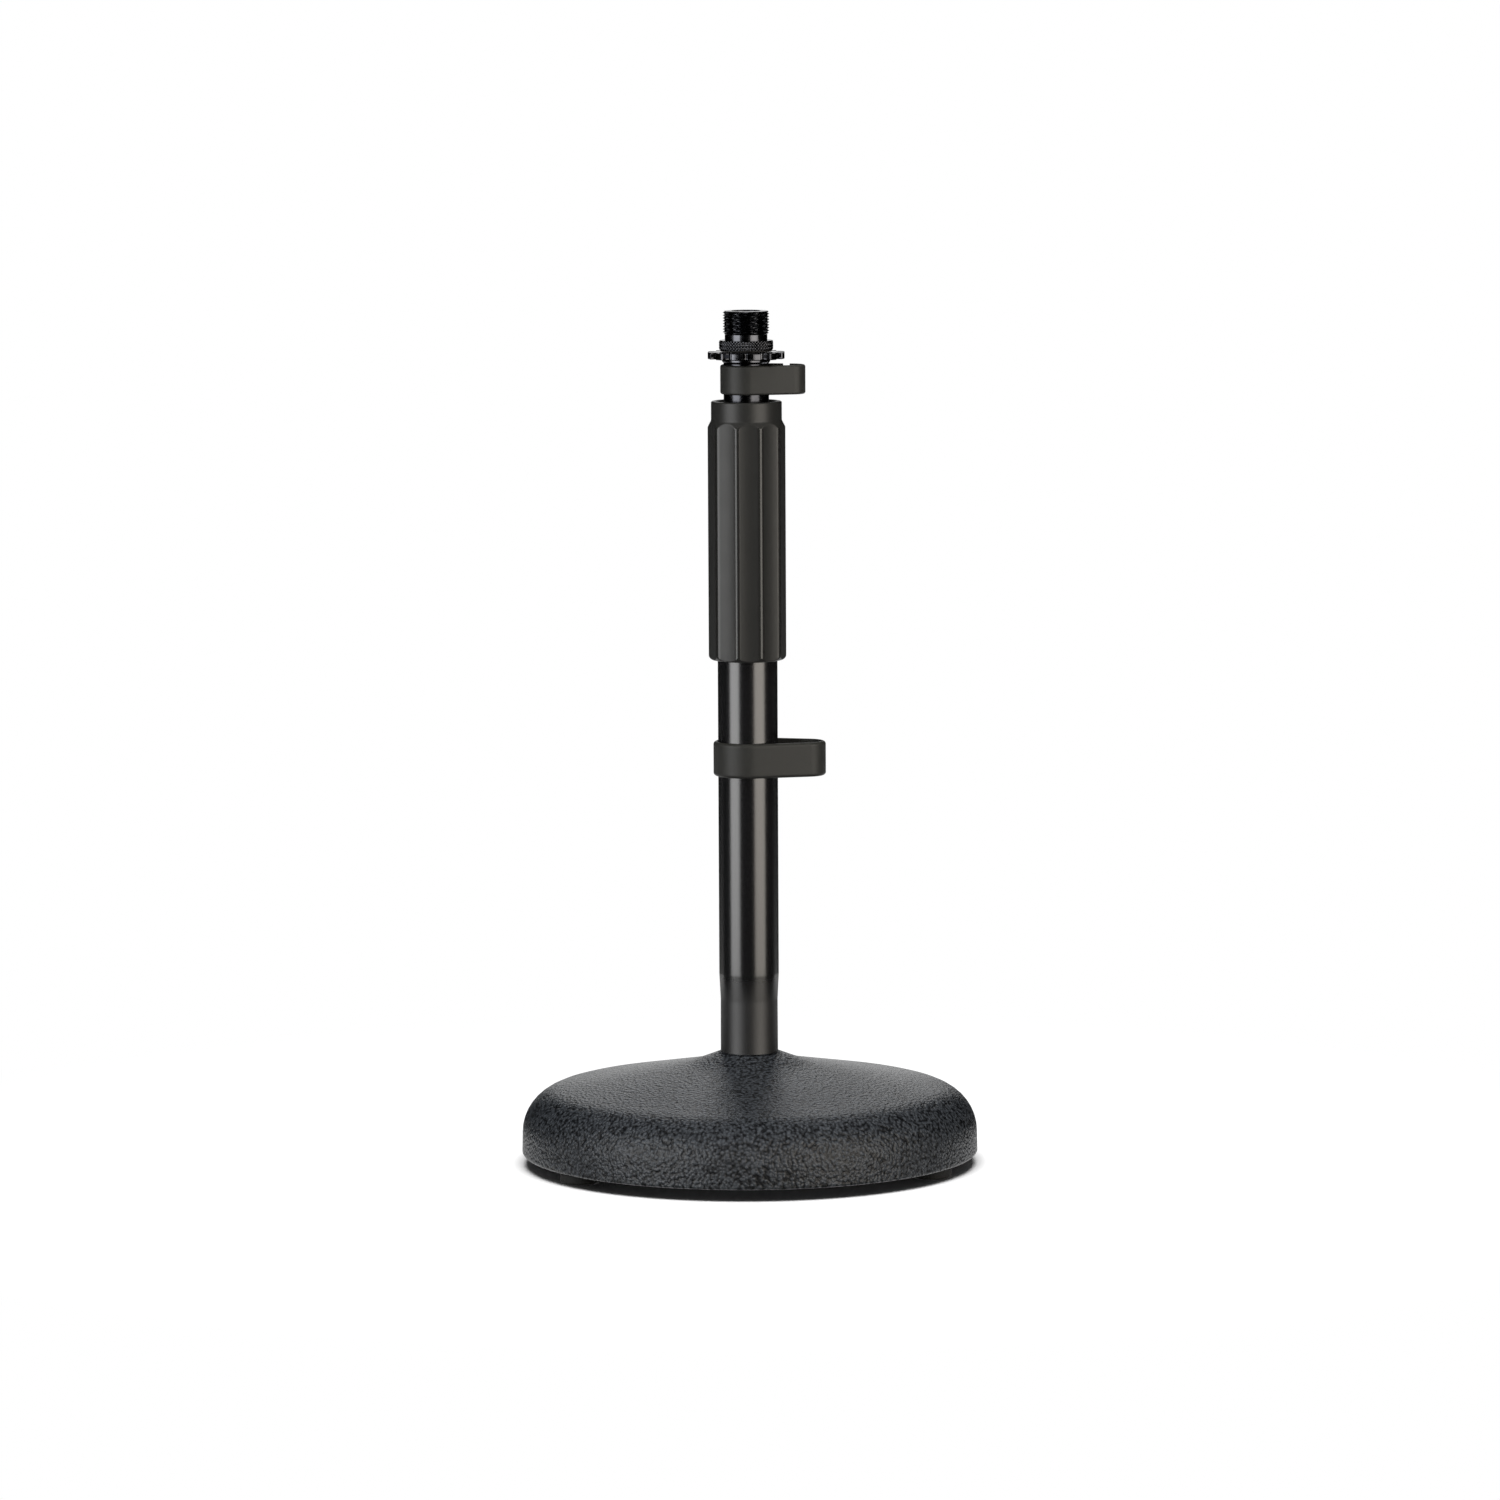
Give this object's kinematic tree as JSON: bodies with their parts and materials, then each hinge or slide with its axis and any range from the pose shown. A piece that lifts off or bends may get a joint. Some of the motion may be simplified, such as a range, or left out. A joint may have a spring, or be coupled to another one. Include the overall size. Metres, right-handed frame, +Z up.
{
  "type": "desktop microphone stand",
  "caption": "Height-adjustable desktop microphone stand with a heavy round base, twist-grip clutch, threaded top and clip-on cable guides.",
  "frame": {"origin": "on the surface that the stand rests on, on the axis of the column", "axes": "+Z up along the column, -Y towards the front, +X towards the side that the cable clips point to"},
  "size_m": [0.1564, 0.1564, 0.293],
  "materials": {
    "powder_coat": "textured black powder coat over grey cast iron",
    "rubber": "moulded, matt",
    "zinc_steel": "zinc plated",
    "turned_steel": "turned, oiled",
    "blackened_steel": "black plated, satin",
    "black_tube": "smooth black enamel, satin gloss",
    "nylon": "natural nylon",
    "grip_plastic": "moulded, fine matt texture",
    "clip_plastic": "moulded, matt",
    "fibre": "hard fibre"
  },
  "bodies": {
    "base": {"base_casting": "powder_coat", "rubber_foot_1": "rubber", "rubber_foot_2": "rubber", "rubber_foot_3": "rubber", "foot_screws": "zinc_steel", "base_bolt": "zinc_steel", "flat_washer": "zinc_steel", "spring_washer": "zinc_steel", "column_insert": "zinc_steel", "lower_tube": "black_tube", "clutch_body": "turned_steel", "collet": "nylon"},
    "clutch_slider": {"thrust_washer": "turned_steel"},
    "grip": {"clutch_nut": "turned_steel", "grip_sleeve": "grip_plastic"},
    "guide": {"guide_bush": "nylon"},
    "mast": {"upper_tube": "black_tube", "top_stud": "blackened_steel"},
    "lock_ring": {"lock_ring": "blackened_steel"},
    "head_washer": {"head_washer": "fibre"},
    "adaptor": {"thread_adaptor": "blackened_steel"},
    "upper_clip": {"upper_clip": "clip_plastic"},
    "lower_clip": {"lower_clip": "clip_plastic"}
  },
  "joints": [
    {"name": "mast_height", "type": "slide", "parent": "base", "child": "guide", "axis": [0, 0, 1], "range_m": [0, 0.095]},
    {"name": "mast_turn", "type": "hinge", "parent": "guide", "child": "mast", "pos_m": [0, 0, 0.095], "axis": [0, 0, 1], "continuous": true},
    {"name": "grip_lift", "type": "slide", "parent": "base", "child": "clutch_slider", "axis": [0, 0, 1], "range_m": [0, 0.00112]},
    {"name": "grip_turn", "type": "hinge", "parent": "clutch_slider", "child": "grip", "pos_m": [0, 0, 0.2345], "axis": [0, 0, 1], "range_deg": [0, 270]},
    {"name": "lock_ring_turn", "type": "hinge", "parent": "mast", "child": "lock_ring", "pos_m": [0, 0, 0.2767], "axis": [0, 0, 1], "range_deg": [-22, 56]},
    {"name": "adaptor_lift", "type": "slide", "parent": "mast", "child": "head_washer", "axis": [0, 0, 1], "range_m": [0, 0.0112]},
    {"name": "adaptor_turn", "type": "hinge", "parent": "head_washer", "child": "adaptor", "pos_m": [0, 0, 0.2797], "axis": [0, 0, 1], "range_deg": [0, 2520]},
    {"name": "upper_clip_turn", "type": "hinge", "parent": "mast", "child": "upper_clip", "pos_m": [0, 0, 0.2647], "axis": [0, 0, 1], "continuous": true},
    {"name": "lower_clip_slide", "type": "slide", "parent": "base", "child": "lower_clip", "axis": [0, 0, 1], "range_m": [-0.06, 0.026]}
  ],
  "couplings": [
    {"joint": "grip_lift", "follows": "grip_turn", "m_per_rad": 0.00023873},
    {"joint": "adaptor_lift", "follows": "adaptor_turn", "m_per_rad": 0.00025265}
  ]
}
